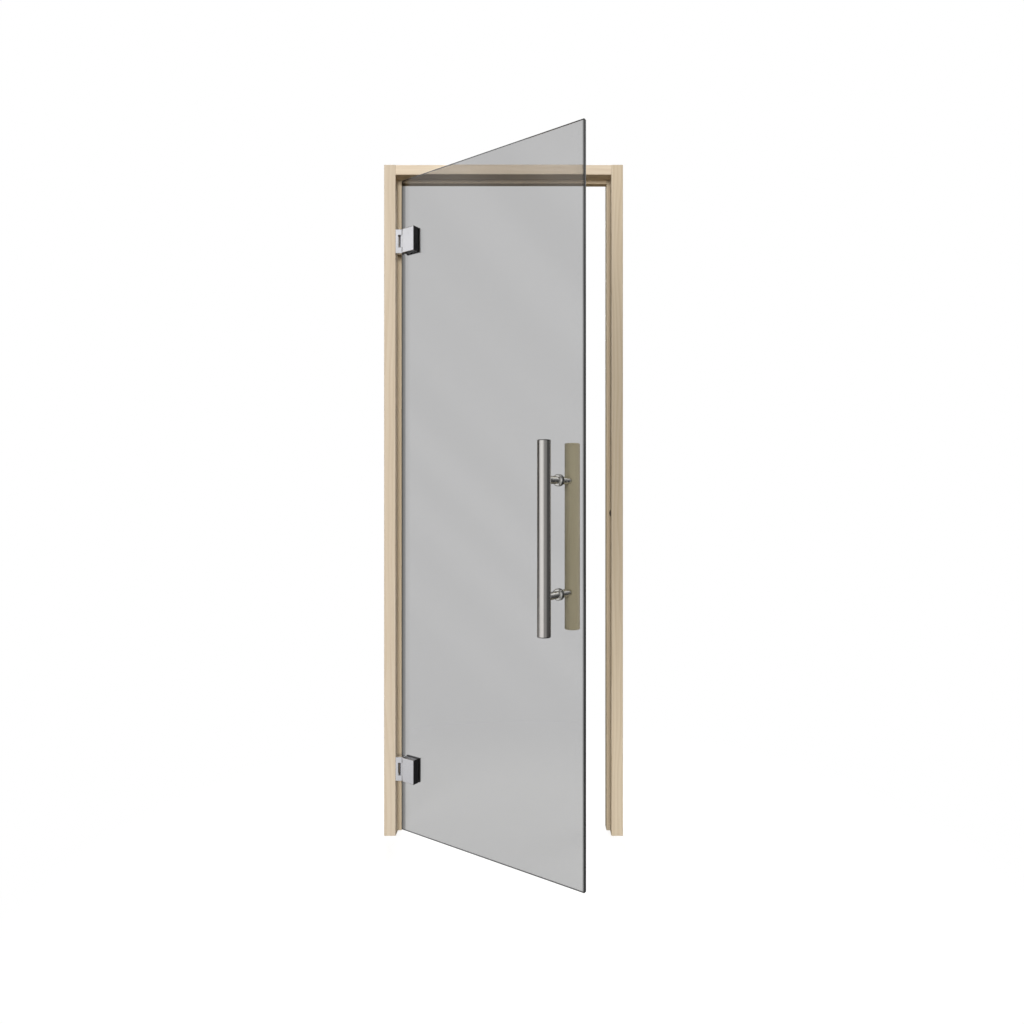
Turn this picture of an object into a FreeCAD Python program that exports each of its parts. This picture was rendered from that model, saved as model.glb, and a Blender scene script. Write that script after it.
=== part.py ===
import FreeCAD, Part
import math
import os
import re
import Sketcher

# Sauna door: a single smoked glass leaf in a rebated timber frame, hung on two clamp hinges and
# carrying a through-glass pull with a steel bar outside and a wooden bar inside.
# Row frame: +X to the right seen from outside, +Y into the sauna, +Z up.
# The origin lies on the outer face of the hinge jamb, at floor level, in the middle of its depth.
# Leaf pieces are drawn about the hinge pin: x along the glass, y through it, z up.

SIZES = {
    # Frame outside sizes and timber sections
    "frame_width": 700,
    "frame_height": 1965,
    "frame_depth": 70,
    "jamb_face": 34,
    "head_face": 29,
    "rebate_depth": 35,
    "stop_width": 11,
    "head_stop_depth": 20,
    "arris_round": 2,
    "stop_round": 1.5,
    # Countersunk holes for the screws that fix the jambs to the wall
    "fixing_radius": 3,
    "fixing_sink": 3,
    "fixing_setback": 17,
    "fixing_outer_end": 100,
    "fixing_inner_end": 680,
    # Screws through the jambs into the ends of the head rail
    "corner_screw_radius": 2.5,
    "corner_head_radius": 5,
    "corner_screw_length": 80,
    "corner_screw_apart": 36,
    # Glass leaf, and how far it stands open
    "glass_thickness": 8,
    "glass_side_gap": 5.5,
    "glass_top_gap": 7,
    "glass_floor_gap": 8,
    "glass_setback": 19,
    "glass_corner": 3,
    "glass_arris": 0.8,
    "open_angle": 33.5,
    # Hinge pin and the base let into the jamb
    "pin_from_jamb": 17,
    "pin_setback": 9,
    "pin_radius": 4,
    "pin_chamfer": 0.6,
    "pin_running_gap": 0.05,
    "hinge_height": 70,
    "hinge_from_end": 187,
    "ear_radius": 8,
    "ear_height": 16.5,
    "web_thickness": 7,
    "plate_thickness": 4,
    "plate_back": 31,
    "plate_corner": 3,
    "hinge_edge_chamfer": 1,
    "base_screw_setback": 24,
    "base_screw_apart": 44,
    "base_screw_radius": 2.1,
    "base_screw_head": 4,
    "base_screw_length": 26,
    # Clamp that grips the glass
    "knuckle_radius": 6,
    "knuckle_overlap": 1,
    "knuckle_end_gap": 0.3,
    "block_setback": 0.5,
    "block_start": 9.5,
    "block_end": 53,
    "block_round": 2,
    "end_cap_thickness": 2,
    "end_cap_round": 1.2,
    "gasket_thickness": 1.5,
    "back_plate_start": 5,
    "back_plate_thickness": 6,
    "clamp_screw_place": 32,
    "clamp_screw_apart": 40,
    "clamp_screw_radius": 3,
    "clamp_screw_head": 5.5,
    "clamp_screw_depth": 12,
    "clamp_screw_short": 1,
    "clamp_hole_radius": 6,
    "screw_gap": 0.1,
    # Pull handle
    "pull_length": 486,
    "pull_height": 888,
    "pull_from_edge": 77,
    "pull_standoff": 70,
    "steel_radius": 17,
    "steel_wall": 2,
    "cap_thickness": 3,
    "cap_spigot": 8,
    "cap_chamfer": 1.5,
    "wood_radius": 20,
    "wood_end_chamfer": 2,
    "post_radius": 10,
    "post_spacing": 290,
    "rosette_radius": 15.5,
    "rosette_thickness": 5,
    "rosette_chamfer": 2.5,
    "stud_radius": 4,
    "stud_depth": 20,
    "bush_radius": 7,
    "fit_gap": 0.05,
    # Door catch let into the latch jamb
    "catch_height": 945,
    "catch_length": 22,
    "catch_width": 9,
    "catch_depth": 12,
    "catch_mouth": 2,
    # How far a cut runs past what it clears
    "overrun": 1,
}

# Places this near each other are the same place
SAME_PLACE = 0.01

doc = FreeCAD.newDocument("sauna_door")
sheet = doc.addObject("Spreadsheet::Sheet", "Sizes")
for row, (alias, value) in enumerate(SIZES.items(), start=1):
    sheet.set(f"A{row}", alias)
    sheet.set(f"B{row}", str(value))
    sheet.setAlias(f"B{row}", alias)
doc.recompute()


def link(text):
    """Turn plain size names in a formula into references to the sheet."""
    return re.sub(r"[a-z][a-z_]+", lambda word: f"Sizes.{word.group()}", str(text))


def amount(text):
    """The present value of a formula, in millimetres."""
    return float(sheet.evalExpression(link(text)))


def new_body(label, place_x="0", place_y="0", place_z="0", turn="0"):
    """A body of its own, moved and turned about the vertical by formulas."""
    body = doc.addObject("PartDesign::Body", label)
    body.Label = label
    turned = FreeCAD.Rotation(FreeCAD.Vector(0, 0, 1), amount(turn))
    body.Placement = FreeCAD.Placement(FreeCAD.Vector(0, 0, 0), turned)
    for letter, text in (("x", place_x), ("y", place_y), ("z", place_z)):
        body.setExpression(f"Placement.Base.{letter}", link(text))
    if turn != "0":
        body.setExpression("Placement.Rotation.Angle", link(turn))
    return body


def new_sketch(body, axis, offset):
    """A sketch square to an axis of the body, at the given place along that axis."""
    role = {"X": "YZ_Plane", "Y": "XZ_Plane", "Z": "XY_Plane"}[axis]
    plane = next(item for item in body.Origin.OriginFeatures if item.Role == role)
    sketch = body.newObject("Sketcher::SketchObject", f"{body.Label}_sketch")
    sketch.AttachmentSupport = [(plane, "")]
    sketch.MapMode = "FlatFace"
    along = f"-({offset})" if axis == "Y" else offset
    sketch.setExpression("AttachmentOffset.Base.z", link(along))
    return sketch


def hold(sketch, piece, end, x=None, y=None):
    """Fix the place of one end of a sketch line or arc by formulas."""
    for direction, text in (("DistanceX", x), ("DistanceY", y)):
        if text is None:
            continue
        rule = Sketcher.Constraint(direction, -1, 1, piece, end, amount(text))
        number = sketch.addConstraint(rule)
        sketch.setExpression(f"Constraints[{number}]", link(text))


def draw_path(sketch, steps):
    """Draw a closed outline. Each step is the corner (x, y) that a straight line leads to, or
    (x, y, centre_x, centre_y) for a short arc; the last step is a line back to the start."""
    ends = [(amount(step[0]), amount(step[1])) for step in steps]
    pieces = []
    for number, step in enumerate(steps):
        start, stop = ends[number - 1], ends[number]
        if len(step) == 2:
            line = Part.LineSegment(FreeCAD.Vector(*start, 0), FreeCAD.Vector(*stop, 0))
            pieces.append((sketch.addGeometry(line), 1, 2))
            continue
        centre = (amount(step[2]), amount(step[3]))
        first = math.atan2(start[1] - centre[1], start[0] - centre[0])
        last = math.atan2(stop[1] - centre[1], stop[0] - centre[0])
        leftward = math.sin(last - first) > 0
        if not leftward:
            first, last = last, first
        round_line = Part.Circle(FreeCAD.Vector(*centre, 0), FreeCAD.Vector(0, 0, 1),
                                 math.dist(start, centre))
        arc = sketch.addGeometry(Part.ArcOfCircle(round_line, first, last))
        pieces.append((arc, 1, 2) if leftward else (arc, 2, 1))
    for number, step in enumerate(steps):
        piece, head, tail = pieces[number]
        after = pieces[(number + 1) % len(pieces)]
        sketch.addConstraint(Sketcher.Constraint("Coincident", piece, tail, after[0], after[1]))
        if len(step) == 2:
            hold(sketch, piece, tail, step[0], step[1])
            continue
        hold(sketch, piece, 3, step[2], step[3])
        sideways = abs(ends[number][1] - amount(step[3])) > abs(ends[number][0] - amount(step[2]))
        if sideways:
            hold(sketch, piece, tail, x=step[0])
        else:
            hold(sketch, piece, tail, y=step[1])


def draw_box(sketch, low_x, low_y, high_x, high_y):
    draw_path(sketch, [(high_x, low_y), (high_x, high_y), (low_x, high_y), (low_x, low_y)])


def draw_round_box(sketch, low_x, low_y, high_x, high_y, corner):
    """A rectangle with equal quarter-round corners."""
    in_low_x, in_high_x = f"{low_x} + {corner}", f"{high_x} - {corner}"
    in_low_y, in_high_y = f"{low_y} + {corner}", f"{high_y} - {corner}"
    draw_path(sketch, [
        (high_x, in_low_y, in_high_x, in_low_y), (high_x, in_high_y),
        (in_high_x, high_y, in_high_x, in_high_y), (in_low_x, high_y),
        (low_x, in_high_y, in_low_x, in_high_y), (low_x, in_low_y),
        (in_low_x, low_y, in_low_x, in_low_y), (in_high_x, low_y),
    ])


def draw_circle(sketch, x, y, radius):
    centre = FreeCAD.Vector(amount(x), amount(y), 0)
    ring = sketch.addGeometry(Part.Circle(centre, FreeCAD.Vector(0, 0, 1), amount(radius)))
    hold(sketch, ring, 3, x, y)
    number = sketch.addConstraint(Sketcher.Constraint("Radius", ring, amount(radius)))
    sketch.setExpression(f"Constraints[{number}]", link(radius))


def extrude(body, axis, low, high, draw, *sizes):
    """Add the drawn outline to the body, from low to high along the axis."""
    sketch = new_sketch(body, axis, high if axis == "Y" else low)
    draw(sketch, *sizes)
    pad = body.newObject("PartDesign::Pad", f"{body.Label}_pad")
    pad.Profile = sketch
    pad.setExpression("Length", link(f"({high}) - ({low})"))
    doc.recompute()
    return pad


def cut(body, axis, low, high, draw, *sizes):
    """Take the drawn outline out of the body, from low to high along the axis."""
    sketch = new_sketch(body, axis, low if axis == "Y" else high)
    draw(sketch, *sizes)
    pocket = body.newObject("PartDesign::Pocket", f"{body.Label}_pocket")
    pocket.Profile = sketch
    pocket.setExpression("Length", link(f"({high}) - ({low})"))
    doc.recompute()
    return pocket


def turn_profile(body, steps):
    """Revolve a half outline about the upright axis. Each step is a radius and a height."""
    sketch = new_sketch(body, "Y", "0")
    draw_path(sketch, steps)
    revolution = body.newObject("PartDesign::Revolution", f"{body.Label}_turned")
    revolution.Profile = sketch
    revolution.ReferenceAxis = (sketch, ["V_Axis"])
    revolution.Angle = 360
    doc.recompute()


def edges_where(feature, test):
    """Names of the edges of a feature whose middle point passes the test."""
    names = []
    for number, edge in enumerate(feature.Shape.Edges, start=1):
        middle = edge.valueAt((edge.FirstParameter + edge.LastParameter) / 2)
        if test(edge, middle):
            names.append(f"Edge{number}")
    return names


def soften(body, feature, kind, size, test):
    """Round or chamfer the edges of a feature that pass the test."""
    trim = body.newObject(f"PartDesign::{kind}", f"{body.Label}_{kind.lower()}")
    trim.Base = (feature, edges_where(feature, test))
    trim.setExpression("Radius" if kind == "Fillet" else "Size", link(size))
    doc.recompute()
    return trim


def is_round(edge):
    return isinstance(edge.Curve, Part.Circle)


def is_upright(edge):
    return abs(edge.tangentAt(edge.FirstParameter).z) > 0.99


def is_level(edge):
    """True for an edge that runs from side to side."""
    return abs(edge.tangentAt(edge.FirstParameter).x) > 0.99


def near(one, other):
    return abs(one - other) < SAME_PLACE


# Frame
# Two jambs stand on the floor with the head rail between their tops. A stop strip planted on
# each leaves the rebate in which the glass closes. The head's strip is the narrower one.

FRONT = "-frame_depth / 2"
BACK = "frame_depth / 2"
STOP_FRONT = "(rebate_depth - frame_depth / 2)"
HEAD_UNDER = "(frame_height - head_face)"
HINGE_LEVELS = {
    "lower": "(glass_floor_gap + hinge_from_end)",
    "upper": "(frame_height - head_face - glass_top_gap - hinge_from_end)",
}
PIN_X = "(jamb_face + pin_from_jamb)"
PIN_Y = "(pin_setback - frame_depth / 2)"


def draw_corner_holes(sketch):
    """Two holes side by side, half way up the end of the head rail."""
    for side in ("-", ""):
        draw_circle(sketch, f"{side}corner_screw_apart / 2", "frame_height - head_face / 2",
                    "corner_screw_radius + fit_gap")


def make_jamb(label, outer, inner, hinged):
    """An upright board with softened arrises, drilled for its fixing screws."""
    jamb = new_body(label)
    low, high = (outer, inner) if hinged else (inner, outer)
    extrude(jamb, "Z", "0", "frame_height", draw_round_box, low, FRONT, high, BACK, "arris_round")
    fixing_y = "(fixing_setback - frame_depth / 2)"
    levels = ["fixing_outer_end", "fixing_inner_end",
              f"({HEAD_UNDER} - fixing_inner_end)", f"({HEAD_UNDER} - fixing_outer_end)"]

    def draw_fixings(sketch):
        for level in levels:
            draw_circle(sketch, fixing_y, level, "fixing_radius")

    drilled = cut(jamb, "X", low, high, draw_fixings)
    face = amount(inner)
    radius = amount("fixing_radius")
    head_under = amount(HEAD_UNDER)
    soften(jamb, drilled, "Chamfer", "fixing_sink",
           lambda edge, middle: is_round(edge) and near(middle.x, face)
           and near(edge.Curve.Radius, radius))

    cornered = cut(jamb, "X", low, high, draw_corner_holes)
    outside = amount(outer)
    soften(jamb, cornered, "Chamfer", "corner_head_radius - corner_screw_radius",
           lambda edge, middle: is_round(edge) and near(middle.x, outside) and middle.z > head_under)
    return jamb


def mortise_for_hinge(jamb, level):
    """Sink the hinge plate into the jamb's rebate side and drill for its two screws."""
    middle = HINGE_LEVELS[level]
    cut(jamb, "X", "jamb_face - plate_thickness", "jamb_face", draw_round_box,
        f"{FRONT} + arris_round", f"{middle} - hinge_height / 2",
        f"{FRONT} + plate_back", f"{middle} + hinge_height / 2", "plate_corner")

    def draw_pilots(sketch):
        for side in ("-", "+"):
            draw_circle(sketch, f"{FRONT} + base_screw_setback",
                        f"{middle} {side} base_screw_apart / 2", "base_screw_radius + fit_gap")

    cut(jamb, "X", "jamb_face - base_screw_length - fit_gap", "jamb_face - plate_thickness",
        draw_pilots)


def make_stop(label, low_x, high_x, low_z, rear, shown):
    """A planted strip up to the head rail; the long edges that stay in view are rounded."""
    strip = new_body(label)
    blank = extrude(strip, "Z", low_z, HEAD_UNDER, draw_box, low_x, STOP_FRONT, high_x, rear)
    soften(strip, blank, "Fillet", "stop_round", shown)


hinge_jamb = make_jamb("hinge_jamb", "0", "jamb_face", True)
for name in HINGE_LEVELS:
    mortise_for_hinge(hinge_jamb, name)
latch_jamb = make_jamb("latch_jamb", "frame_width", "frame_width - jamb_face", False)

head_rail = new_body("head_rail")
extrude(head_rail, "X", "jamb_face", "frame_width - jamb_face", draw_round_box,
        FRONT, HEAD_UNDER, BACK, "frame_height", "arris_round")
PILOT_END = "(corner_screw_length + fit_gap)"
cut(head_rail, "X", "jamb_face", PILOT_END, draw_corner_holes)
cut(head_rail, "X", f"frame_width - {PILOT_END}", "frame_width - jamb_face", draw_corner_holes)

STOP_LEFT = "(jamb_face + stop_width)"
STOP_RIGHT = "(frame_width - jamb_face - stop_width)"
STOP_UNDER = f"({HEAD_UNDER} - stop_width)"
make_stop("hinge_stop", "jamb_face", STOP_LEFT, "0", BACK,
          lambda edge, middle: near(middle.x, amount(STOP_LEFT)) and is_upright(edge))
make_stop("latch_stop", STOP_RIGHT, "frame_width - jamb_face", "0", BACK,
          lambda edge, middle: near(middle.x, amount(STOP_RIGHT)) and is_upright(edge))
make_stop("head_stop", STOP_LEFT, STOP_RIGHT, STOP_UNDER, f"{STOP_FRONT} + head_stop_depth",
          lambda edge, middle: near(middle.z, amount(STOP_UNDER)) and is_level(edge))


def make_screws(label, axis, head, shank, length, places, place=None):
    """Countersunk screws of one pattern, as separate solids in one node."""
    solids = []
    cone_length = amount(f"{head} - {shank}")
    for x, y, z in places:
        start = FreeCAD.Vector(amount(x), amount(y), amount(z))
        cone = Part.makeCone(amount(head), amount(shank), cone_length, start, axis)
        rod = Part.makeCylinder(amount(shank), amount(length) - cone_length,
                                start + axis * cone_length, axis)
        solids.append(cone.fuse(rod).removeSplitter())
    screws = doc.addObject("Part::Feature", label)
    screws.Label = label
    screws.Shape = Part.makeCompound(solids)
    if place:
        screws.Placement = place
    return screws


LEFT = FreeCAD.Vector(-1, 0, 0)
RIGHT = FreeCAD.Vector(1, 0, 0)
OUTWARD = FreeCAD.Vector(0, -1, 0)
for name, outer, inward in (("left", "0", RIGHT), ("right", "frame_width", LEFT)):
    make_screws(f"corner_screws_{name}", inward, "corner_head_radius", "corner_screw_radius",
                "corner_screw_length",
                [(outer, f"{side}corner_screw_apart / 2", "frame_height - head_face / 2")
                 for side in ("-", "")])

# Door catch
# A black plug with round ends, flush in the rebate side of the latch jamb, with a shallow mouth.

CATCH_X = "(frame_width - jamb_face)"
CATCH_Y = "(glass_setback + glass_thickness / 2 - frame_depth / 2)"


def draw_catch(sketch, margin):
    """A slot shape: straight sides between two half circles."""
    half = f"(catch_width / 2 - {margin})"
    reach = "(catch_length - catch_width) / 2"
    low, high = f"(catch_height - {reach})", f"(catch_height + {reach})"
    left, right = f"{CATCH_Y} - {half}", f"{CATCH_Y} + {half}"
    draw_path(sketch, [
        (CATCH_Y, f"{high} + {half}", CATCH_Y, high), (left, high, CATCH_Y, high), (left, low),
        (CATCH_Y, f"{low} - {half}", CATCH_Y, low), (right, low, CATCH_Y, low), (right, high),
    ])


cut(latch_jamb, "X", CATCH_X, f"{CATCH_X} + catch_depth", draw_catch, "0")
door_catch = new_body("door_catch")
extrude(door_catch, "X", CATCH_X, f"{CATCH_X} + catch_depth", draw_catch, "fit_gap")
cut(door_catch, "X", CATCH_X, f"{CATCH_X} + catch_mouth", draw_catch, "catch_mouth")

# Hinges
# A chrome base with a plate, a web and two ears is let into the jamb. A pin through the ears
# carries the knuckle of the clamp block, which grips the glass against a plate behind it.

BLOCK_FRONT = "(block_setback - pin_setback)"
GLASS_FRONT = "(glass_setback - pin_setback)"
GLASS_BACK = f"({GLASS_FRONT} + glass_thickness)"
BLOCK_BACK = f"({GLASS_FRONT} - gasket_thickness)"
PLATE_FRONT = f"({GLASS_BACK} + gasket_thickness)"
PLATE_REAR = f"({PLATE_FRONT} + back_plate_thickness)"
BASE_FACE = "-pin_from_jamb"
SCREW_SIDE = "base_screw_setback - pin_setback"


def draw_tongue(sketch, root, radius, side=""):
    """A bar from the root line to the pin, rounded about the pin. Side "-" turns it to face left."""
    nose, low, high = f"{side}({radius})", f"-({radius})", radius
    draw_path(sketch, [(nose, "0", "0", "0"), ("0", high, "0", "0"), (root, high), (root, low),
                       ("0", low)])


def make_hinge_base(level):
    """Plate, web and ears in one casting, bored for the pin and for two screws."""
    base = new_body(f"hinge_base_{level}", PIN_X, PIN_Y, HINGE_LEVELS[level])
    extrude(base, "X", f"{BASE_FACE} - plate_thickness", BASE_FACE, draw_round_box,
            "arris_round - pin_setback", "-hinge_height / 2",
            "plate_back - pin_setback", "hinge_height / 2", "plate_corner")
    tongue = extrude(base, "Z", "-hinge_height / 2", "hinge_height / 2",
                     draw_tongue, BASE_FACE, "ear_radius")
    top = amount("hinge_height / 2")
    face = amount(BASE_FACE)
    soften(base, tongue, "Chamfer", "hinge_edge_chamfer",
           lambda edge, middle: near(abs(middle.z), top) and middle.x > face + SAME_PLACE)
    cut(base, "Z", "ear_height - hinge_height / 2", "hinge_height / 2 - ear_height", draw_box,
        f"{BASE_FACE} + web_thickness", "-ear_radius - overrun",
        "ear_radius + overrun", "ear_radius + overrun")
    cut(base, "Z", "-hinge_height / 2", "hinge_height / 2", draw_circle,
        "0", "0", "pin_radius + fit_gap")

    def draw_screw_holes(sketch):
        for side in ("-", ""):
            draw_circle(sketch, SCREW_SIDE, f"{side}base_screw_apart / 2",
                        "base_screw_radius + fit_gap")

    drilled = cut(base, "X", f"{BASE_FACE} - plate_thickness", BASE_FACE, draw_screw_holes)
    radius = amount("base_screw_radius + fit_gap")
    soften(base, drilled, "Chamfer", "base_screw_head - base_screw_radius",
           lambda edge, middle: is_round(edge) and near(middle.x, face)
           and near(edge.Curve.Radius, radius))


def make_pin(level):
    """A straight steel pin, chamfered at both ends, level with the ears."""
    pin = new_body(f"hinge_pin_{level}", PIN_X, PIN_Y, HINGE_LEVELS[level])
    half = "hinge_height / 2"
    inner = "(pin_radius - pin_chamfer)"
    turn_profile(pin, [
        (inner, f"-{half}"), ("pin_radius", f"pin_chamfer - {half}"),
        ("pin_radius", f"{half} - pin_chamfer"), (inner, half), ("0", half), ("0", f"-{half}")])


def leaf_body(label, level="0"):
    """A body that swings with the glass, drawn about the hinge pin."""
    return new_body(label, PIN_X, PIN_Y, level, "-open_angle")


def draw_clamp_holes(sketch, radius):
    for side in ("-", ""):
        draw_circle(sketch, "clamp_screw_place", f"{side}clamp_screw_apart / 2", radius)


def make_block(level):
    """Clamp block: a knuckle between the ears and a full-height jaw in front of the glass."""
    block = leaf_body(f"hinge_block_{level}", HINGE_LEVELS[level])
    jaw = extrude(block, "Z", "-hinge_height / 2", "hinge_height / 2", draw_box,
                  "block_start", BLOCK_FRONT, "block_end", BLOCK_BACK)
    front, top = amount(BLOCK_FRONT), amount("hinge_height / 2")
    end = amount("block_end")
    soften(block, jaw, "Fillet", "block_round",
           lambda edge, middle: near(middle.y, front) and middle.x < end - SAME_PLACE)
    knuckle_half = "(hinge_height / 2 - ear_height - knuckle_end_gap)"
    extrude(block, "Z", f"-{knuckle_half}", knuckle_half,
            draw_tongue, "block_start + knuckle_overlap", "knuckle_radius", "-")
    cut(block, "Z", "-hinge_height / 2", "hinge_height / 2", draw_circle,
        "0", "0", "pin_radius + pin_running_gap")
    cut(block, "Y", f"{BLOCK_BACK} - clamp_screw_depth", BLOCK_BACK, draw_clamp_holes,
        "clamp_screw_radius + fit_gap")


def make_end_cap(level):
    """Black plastic cap on the free end of the block."""
    cap = leaf_body(f"hinge_end_cap_{level}", HINGE_LEVELS[level])
    body = extrude(cap, "Z", "-hinge_height / 2", "hinge_height / 2", draw_box,
                   "block_end", BLOCK_FRONT, "block_end + end_cap_thickness", BLOCK_BACK)
    end = amount("block_end + end_cap_thickness")
    soften(cap, body, "Fillet", "end_cap_round",
           lambda edge, middle: near(middle.x, end))


def make_gasket(label, level, start, low_y, high_y):
    """A thin black sheet between metal and glass."""
    gasket = leaf_body(f"{label}_{level}", HINGE_LEVELS[level])
    extrude(gasket, "Z", "-hinge_height / 2", "hinge_height / 2", draw_box,
            start, low_y, "block_end + end_cap_thickness", high_y)
    cut(gasket, "Y", low_y, high_y, draw_clamp_holes, "clamp_screw_radius + screw_gap")


def make_back_plate(level):
    """Flat clamping plate inside the glass, countersunk for the two clamp screws."""
    plate = leaf_body(f"hinge_back_plate_{level}", HINGE_LEVELS[level])
    blank = extrude(plate, "Z", "-hinge_height / 2", "hinge_height / 2", draw_box,
                    "back_plate_start", PLATE_FRONT, "block_end + end_cap_thickness", PLATE_REAR)
    rear = amount(PLATE_REAR)
    soften(plate, blank, "Fillet", "block_round", lambda edge, middle: near(middle.y, rear))
    drilled = cut(plate, "Y", PLATE_FRONT, PLATE_REAR, draw_clamp_holes,
                  "clamp_screw_radius + screw_gap")
    soften(plate, drilled, "Chamfer", "clamp_screw_head - clamp_screw_radius",
           lambda edge, middle: is_round(edge) and near(middle.y, rear))


def leaf_place(level):
    turned = FreeCAD.Rotation(FreeCAD.Vector(0, 0, 1), -amount("open_angle"))
    return FreeCAD.Placement(FreeCAD.Vector(amount(PIN_X), amount(PIN_Y), amount(level)), turned)


for name, middle in HINGE_LEVELS.items():
    make_hinge_base(name)
    make_pin(name)
    make_screws(f"hinge_base_screws_{name}", LEFT, "base_screw_head", "base_screw_radius",
                "base_screw_length",
                [("jamb_face", f"{FRONT} + base_screw_setback",
                  f"{middle} {side} base_screw_apart / 2") for side in ("-", "+")])
    make_block(name)
    make_end_cap(name)
    make_gasket("hinge_outer_gasket", name, "block_start", BLOCK_BACK, GLASS_FRONT)
    make_gasket("hinge_inner_gasket", name, "back_plate_start", GLASS_BACK, PLATE_FRONT)
    make_back_plate(name)
    make_screws(f"hinge_clamp_screws_{name}", OUTWARD, "clamp_screw_head", "clamp_screw_radius",
                f"{PLATE_REAR} - {BLOCK_BACK} + clamp_screw_depth - clamp_screw_short",
                [("clamp_screw_place", PLATE_REAR, f"{side}clamp_screw_apart / 2")
                 for side in ("-", "")],
                leaf_place(middle))

# Glass leaf
# One toughened pane with rounded corners, drilled for the hinges and for the pull.

GLASS_START = "(glass_side_gap - pin_from_jamb)"
GLASS_END = "(frame_width - 2 * jamb_face - pin_from_jamb - glass_side_gap)"
GLASS_TOP = f"({HEAD_UNDER} - glass_top_gap)"
PULL_X = f"({GLASS_END} - pull_from_edge)"
POST_LEVELS = {"lower": "(pull_height - post_spacing / 2)", "upper": "(pull_height + post_spacing / 2)"}

glass = leaf_body("glass_leaf")
pane = extrude(glass, "Y", GLASS_FRONT, GLASS_BACK, draw_round_box,
               GLASS_START, "glass_floor_gap", GLASS_END, GLASS_TOP, "glass_corner")
soften(glass, pane, "Chamfer", "glass_arris", lambda edge, middle: True)


def draw_glass_holes(sketch):
    for level in HINGE_LEVELS.values():
        for side in ("-", "+"):
            draw_circle(sketch, "clamp_screw_place", f"{level} {side} clamp_screw_apart / 2",
                        "clamp_hole_radius")
    for level in POST_LEVELS.values():
        draw_circle(sketch, PULL_X, level, "bush_radius + fit_gap")


cut(glass, "Y", GLASS_FRONT, GLASS_BACK, draw_glass_holes)

# Pull handle
# A steel tube outside and a wooden bar inside share two studs through the glass. On each side a
# round post stands on a rosette and is hollowed at its end to seat on the bar.

STEEL_Y = f"({GLASS_FRONT} + glass_thickness / 2 - pull_standoff)"
WOOD_Y = f"({GLASS_FRONT} + glass_thickness / 2 + pull_standoff)"


def draw_tube(sketch, x, y, outer, inner):
    draw_circle(sketch, x, y, outer)
    draw_circle(sketch, x, y, inner)


steel_bar = leaf_body("pull_bar_steel")
extrude(steel_bar, "Z", "pull_height - pull_length / 2 + cap_thickness",
        "pull_height + pull_length / 2 - cap_thickness",
        draw_tube, PULL_X, STEEL_Y, "steel_radius", "steel_radius - steel_wall")

wood_bar = leaf_body("pull_bar_wood")
wood_blank = extrude(wood_bar, "Z", "pull_height - pull_length / 2", "pull_height + pull_length / 2",
                     draw_circle, PULL_X, WOOD_Y, "wood_radius")
soften(wood_bar, wood_blank, "Chamfer", "wood_end_chamfer", lambda edge, middle: is_round(edge))


def make_cap(level, side):
    """End cap: a disc with a bevelled rim and a spigot inside the tube."""
    cap = leaf_body(f"pull_cap_{level}")
    end = f"(pull_height {side} pull_length / 2)"
    seat = f"({end} {'-' if side == '+' else '+'} cap_thickness)"
    plug = f"({seat} {'-' if side == '+' else '+'} cap_spigot)"
    low, high = (seat, end) if side == "+" else (end, seat)
    disc = extrude(cap, "Z", low, high, draw_circle, PULL_X, STEEL_Y, "steel_radius")
    outer = amount(end)
    soften(cap, disc, "Chamfer", "cap_chamfer", lambda edge, middle: near(middle.z, outer))
    low, high = (plug, seat) if side == "+" else (seat, plug)
    extrude(cap, "Z", low, high, draw_circle, PULL_X, STEEL_Y, "steel_radius - steel_wall - fit_gap")


def make_post(side, level, seat_low, seat_high, bar_y, bar_radius, stud_low, stud_high):
    """Round post from its rosette to the bar, with a saddle end and a bore for the stud."""
    post = leaf_body(f"{side}_post_{level}", POST_LEVELS[level])
    extrude(post, "Y", seat_low, seat_high, draw_circle, PULL_X, "0", "post_radius")
    cut(post, "Z", "-post_radius - overrun", "post_radius + overrun", draw_circle,
        PULL_X, bar_y, f"{bar_radius} + fit_gap")
    cut(post, "Y", stud_low, stud_high, draw_circle, PULL_X, "0", "stud_radius + fit_gap")


def make_rosette(side, level, low_y, high_y, rim_y):
    """Round collar against the glass, bevelled on its outer rim."""
    rosette = leaf_body(f"{side}_rosette_{level}", POST_LEVELS[level])
    disc = extrude(rosette, "Y", low_y, high_y, draw_circle, PULL_X, "0", "rosette_radius")
    rim = amount(rim_y)
    soften(rosette, disc, "Chamfer", "rosette_chamfer", lambda edge, middle: near(middle.y, rim))
    cut(rosette, "Y", low_y, high_y, draw_circle, PULL_X, "0", "stud_radius + fit_gap")


for name, level in POST_LEVELS.items():
    make_cap(name, "-" if name == "lower" else "+")
    outer_seat = f"({GLASS_FRONT} - rosette_thickness)"
    inner_seat = f"({GLASS_BACK} + rosette_thickness)"
    make_rosette("outer", name, outer_seat, GLASS_FRONT, outer_seat)
    make_rosette("inner", name, GLASS_BACK, inner_seat, inner_seat)
    make_post("outer", name, STEEL_Y, outer_seat, STEEL_Y, "steel_radius",
              f"{outer_seat} - stud_depth", outer_seat)
    make_post("inner", name, inner_seat, WOOD_Y, WOOD_Y, "wood_radius",
              inner_seat, f"{inner_seat} + stud_depth")
    stud = leaf_body(f"pull_stud_{name}", level)
    extrude(stud, "Y", f"{outer_seat} - stud_depth", f"{inner_seat} + stud_depth",
            draw_circle, PULL_X, "0", "stud_radius")
    bush = leaf_body(f"glass_bush_{name}", level)
    extrude(bush, "Y", GLASS_FRONT, GLASS_BACK, draw_tube,
            PULL_X, "0", "bush_radius", "stud_radius + fit_gap")

# Checks and files
# Every feature must have built, every cut must have taken something away, and each sub-part must
# be a sound solid before its file is written.

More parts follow.
